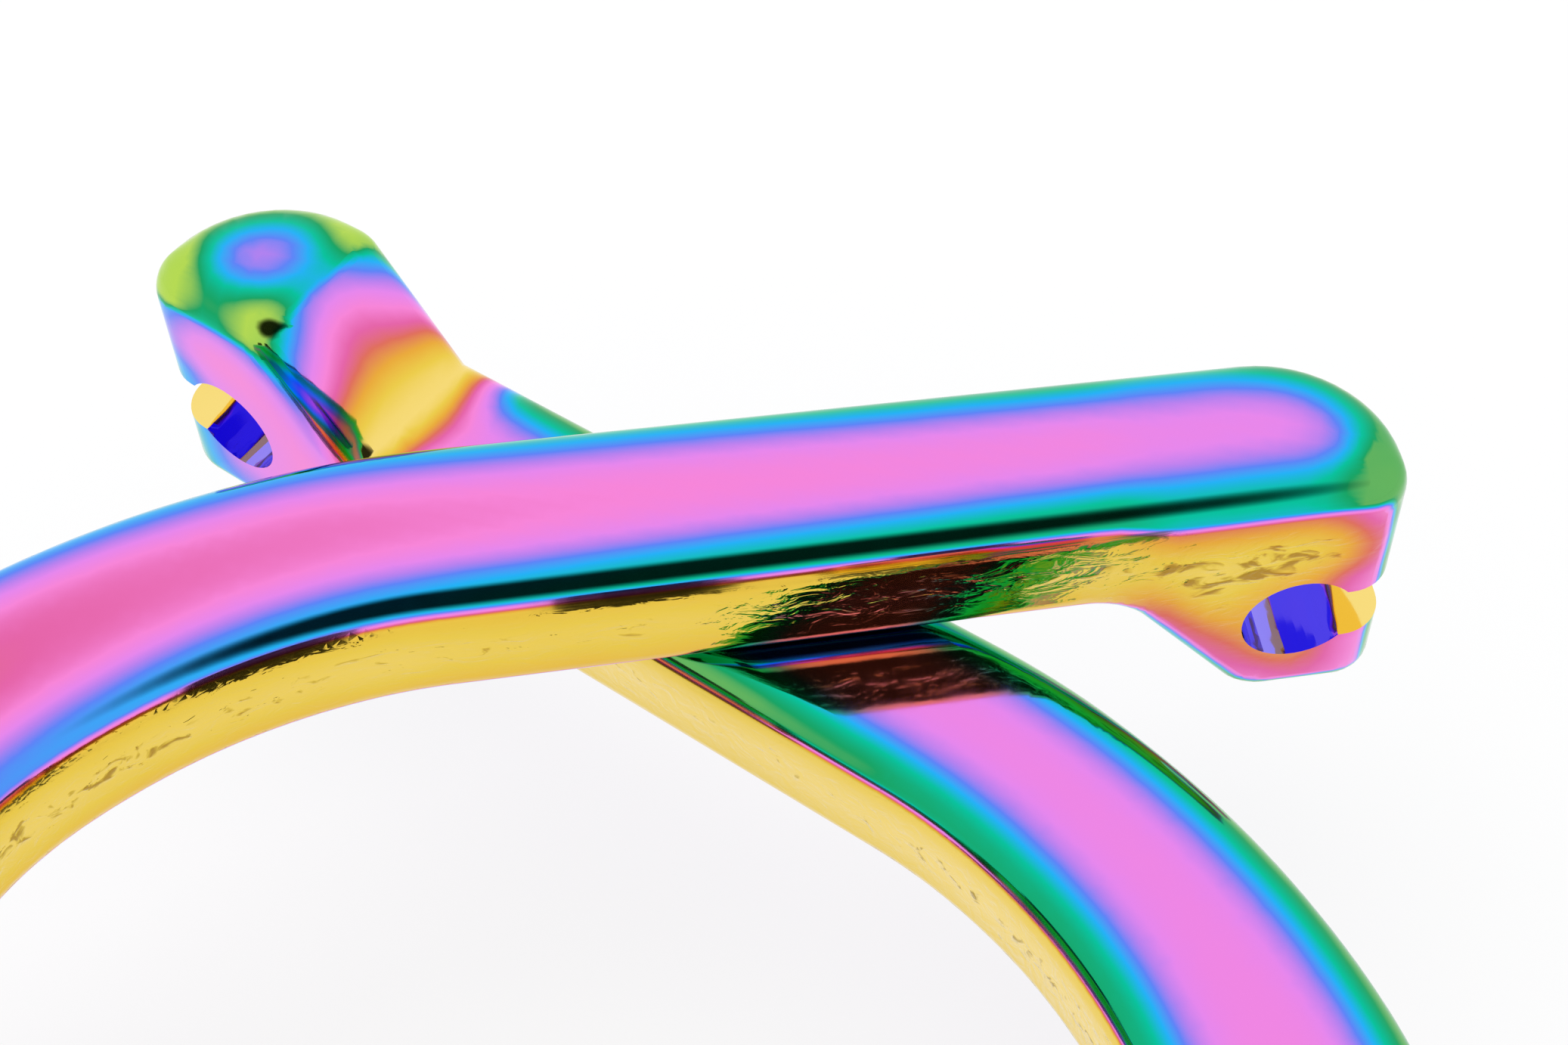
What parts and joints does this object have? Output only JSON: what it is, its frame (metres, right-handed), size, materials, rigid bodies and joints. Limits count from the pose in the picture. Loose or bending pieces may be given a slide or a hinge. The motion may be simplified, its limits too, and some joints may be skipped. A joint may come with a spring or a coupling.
{
  "type": "u-brake",
  "caption": "Bicycle u-brake with crossing forged arms that turn on pivot sleeves, hooked cable ears, return springs and adjustable rim pads.",
  "frame": {"origin": "midway between the two pivot axes, on the plane where the adjusters seat on the frame", "axes": "+X across the wheel to the viewer's right, +Y away from the wheel's axle, +Z along the pivots away from the frame"},
  "size_m": [0.1152, 0.1042, 0.052],
  "materials": {
    "arm_alloy": "mirror-polished forging with a thin interference-colour film",
    "bush": "moulded bearing plastic",
    "adjuster_steel": "dark zinc plate",
    "spring_steel": "bright spring wire",
    "bolt_steel": "black oxide",
    "pad_rubber": "moulded friction compound",
    "post_steel": "bright zinc plate",
    "washer_steel": "bright zinc plate"
  },
  "bodies": {
    "frame_hardware": {"left_tension_adjuster": "adjuster_steel", "left_return_spring": "spring_steel", "left_pivot_washer": "bolt_steel", "left_pivot_bolt": "bolt_steel", "right_tension_adjuster": "adjuster_steel", "right_return_spring": "spring_steel", "right_pivot_washer": "bolt_steel", "right_pivot_bolt": "bolt_steel"},
    "left_arm": {"left_arm": "arm_alloy", "left_pivot_bush": "bush", "left_pad_rubber": "pad_rubber", "left_pad_holder": "post_steel", "left_inner_ball_washer": "washer_steel", "left_inner_cup_washer": "washer_steel", "left_outer_cup_washer": "washer_steel", "left_outer_ball_washer": "washer_steel", "left_pad_nut": "post_steel"},
    "right_arm": {"right_arm": "arm_alloy", "right_pivot_bush": "bush", "right_pad_rubber": "pad_rubber", "right_pad_holder": "post_steel", "right_inner_ball_washer": "washer_steel", "right_inner_cup_washer": "washer_steel", "right_outer_cup_washer": "washer_steel", "right_outer_ball_washer": "washer_steel", "right_pad_nut": "post_steel"}
  },
  "joints": [
    {"name": "left_arm_pivot", "type": "hinge", "parent": "frame_hardware", "child": "left_arm", "pos_m": [-0.0425, 0, 0], "axis": [0, 0, 1], "range_deg": [-3, 7], "stiffness_Nm_per_rad": 0.6, "deforming": ["left_return_spring"]},
    {"name": "right_arm_pivot", "type": "hinge", "parent": "frame_hardware", "child": "right_arm", "pos_m": [0.0425, 0, 0], "axis": [0, 0, -1], "range_deg": [-3, 7], "stiffness_Nm_per_rad": 0.6, "deforming": ["right_return_spring"]}
  ]
}
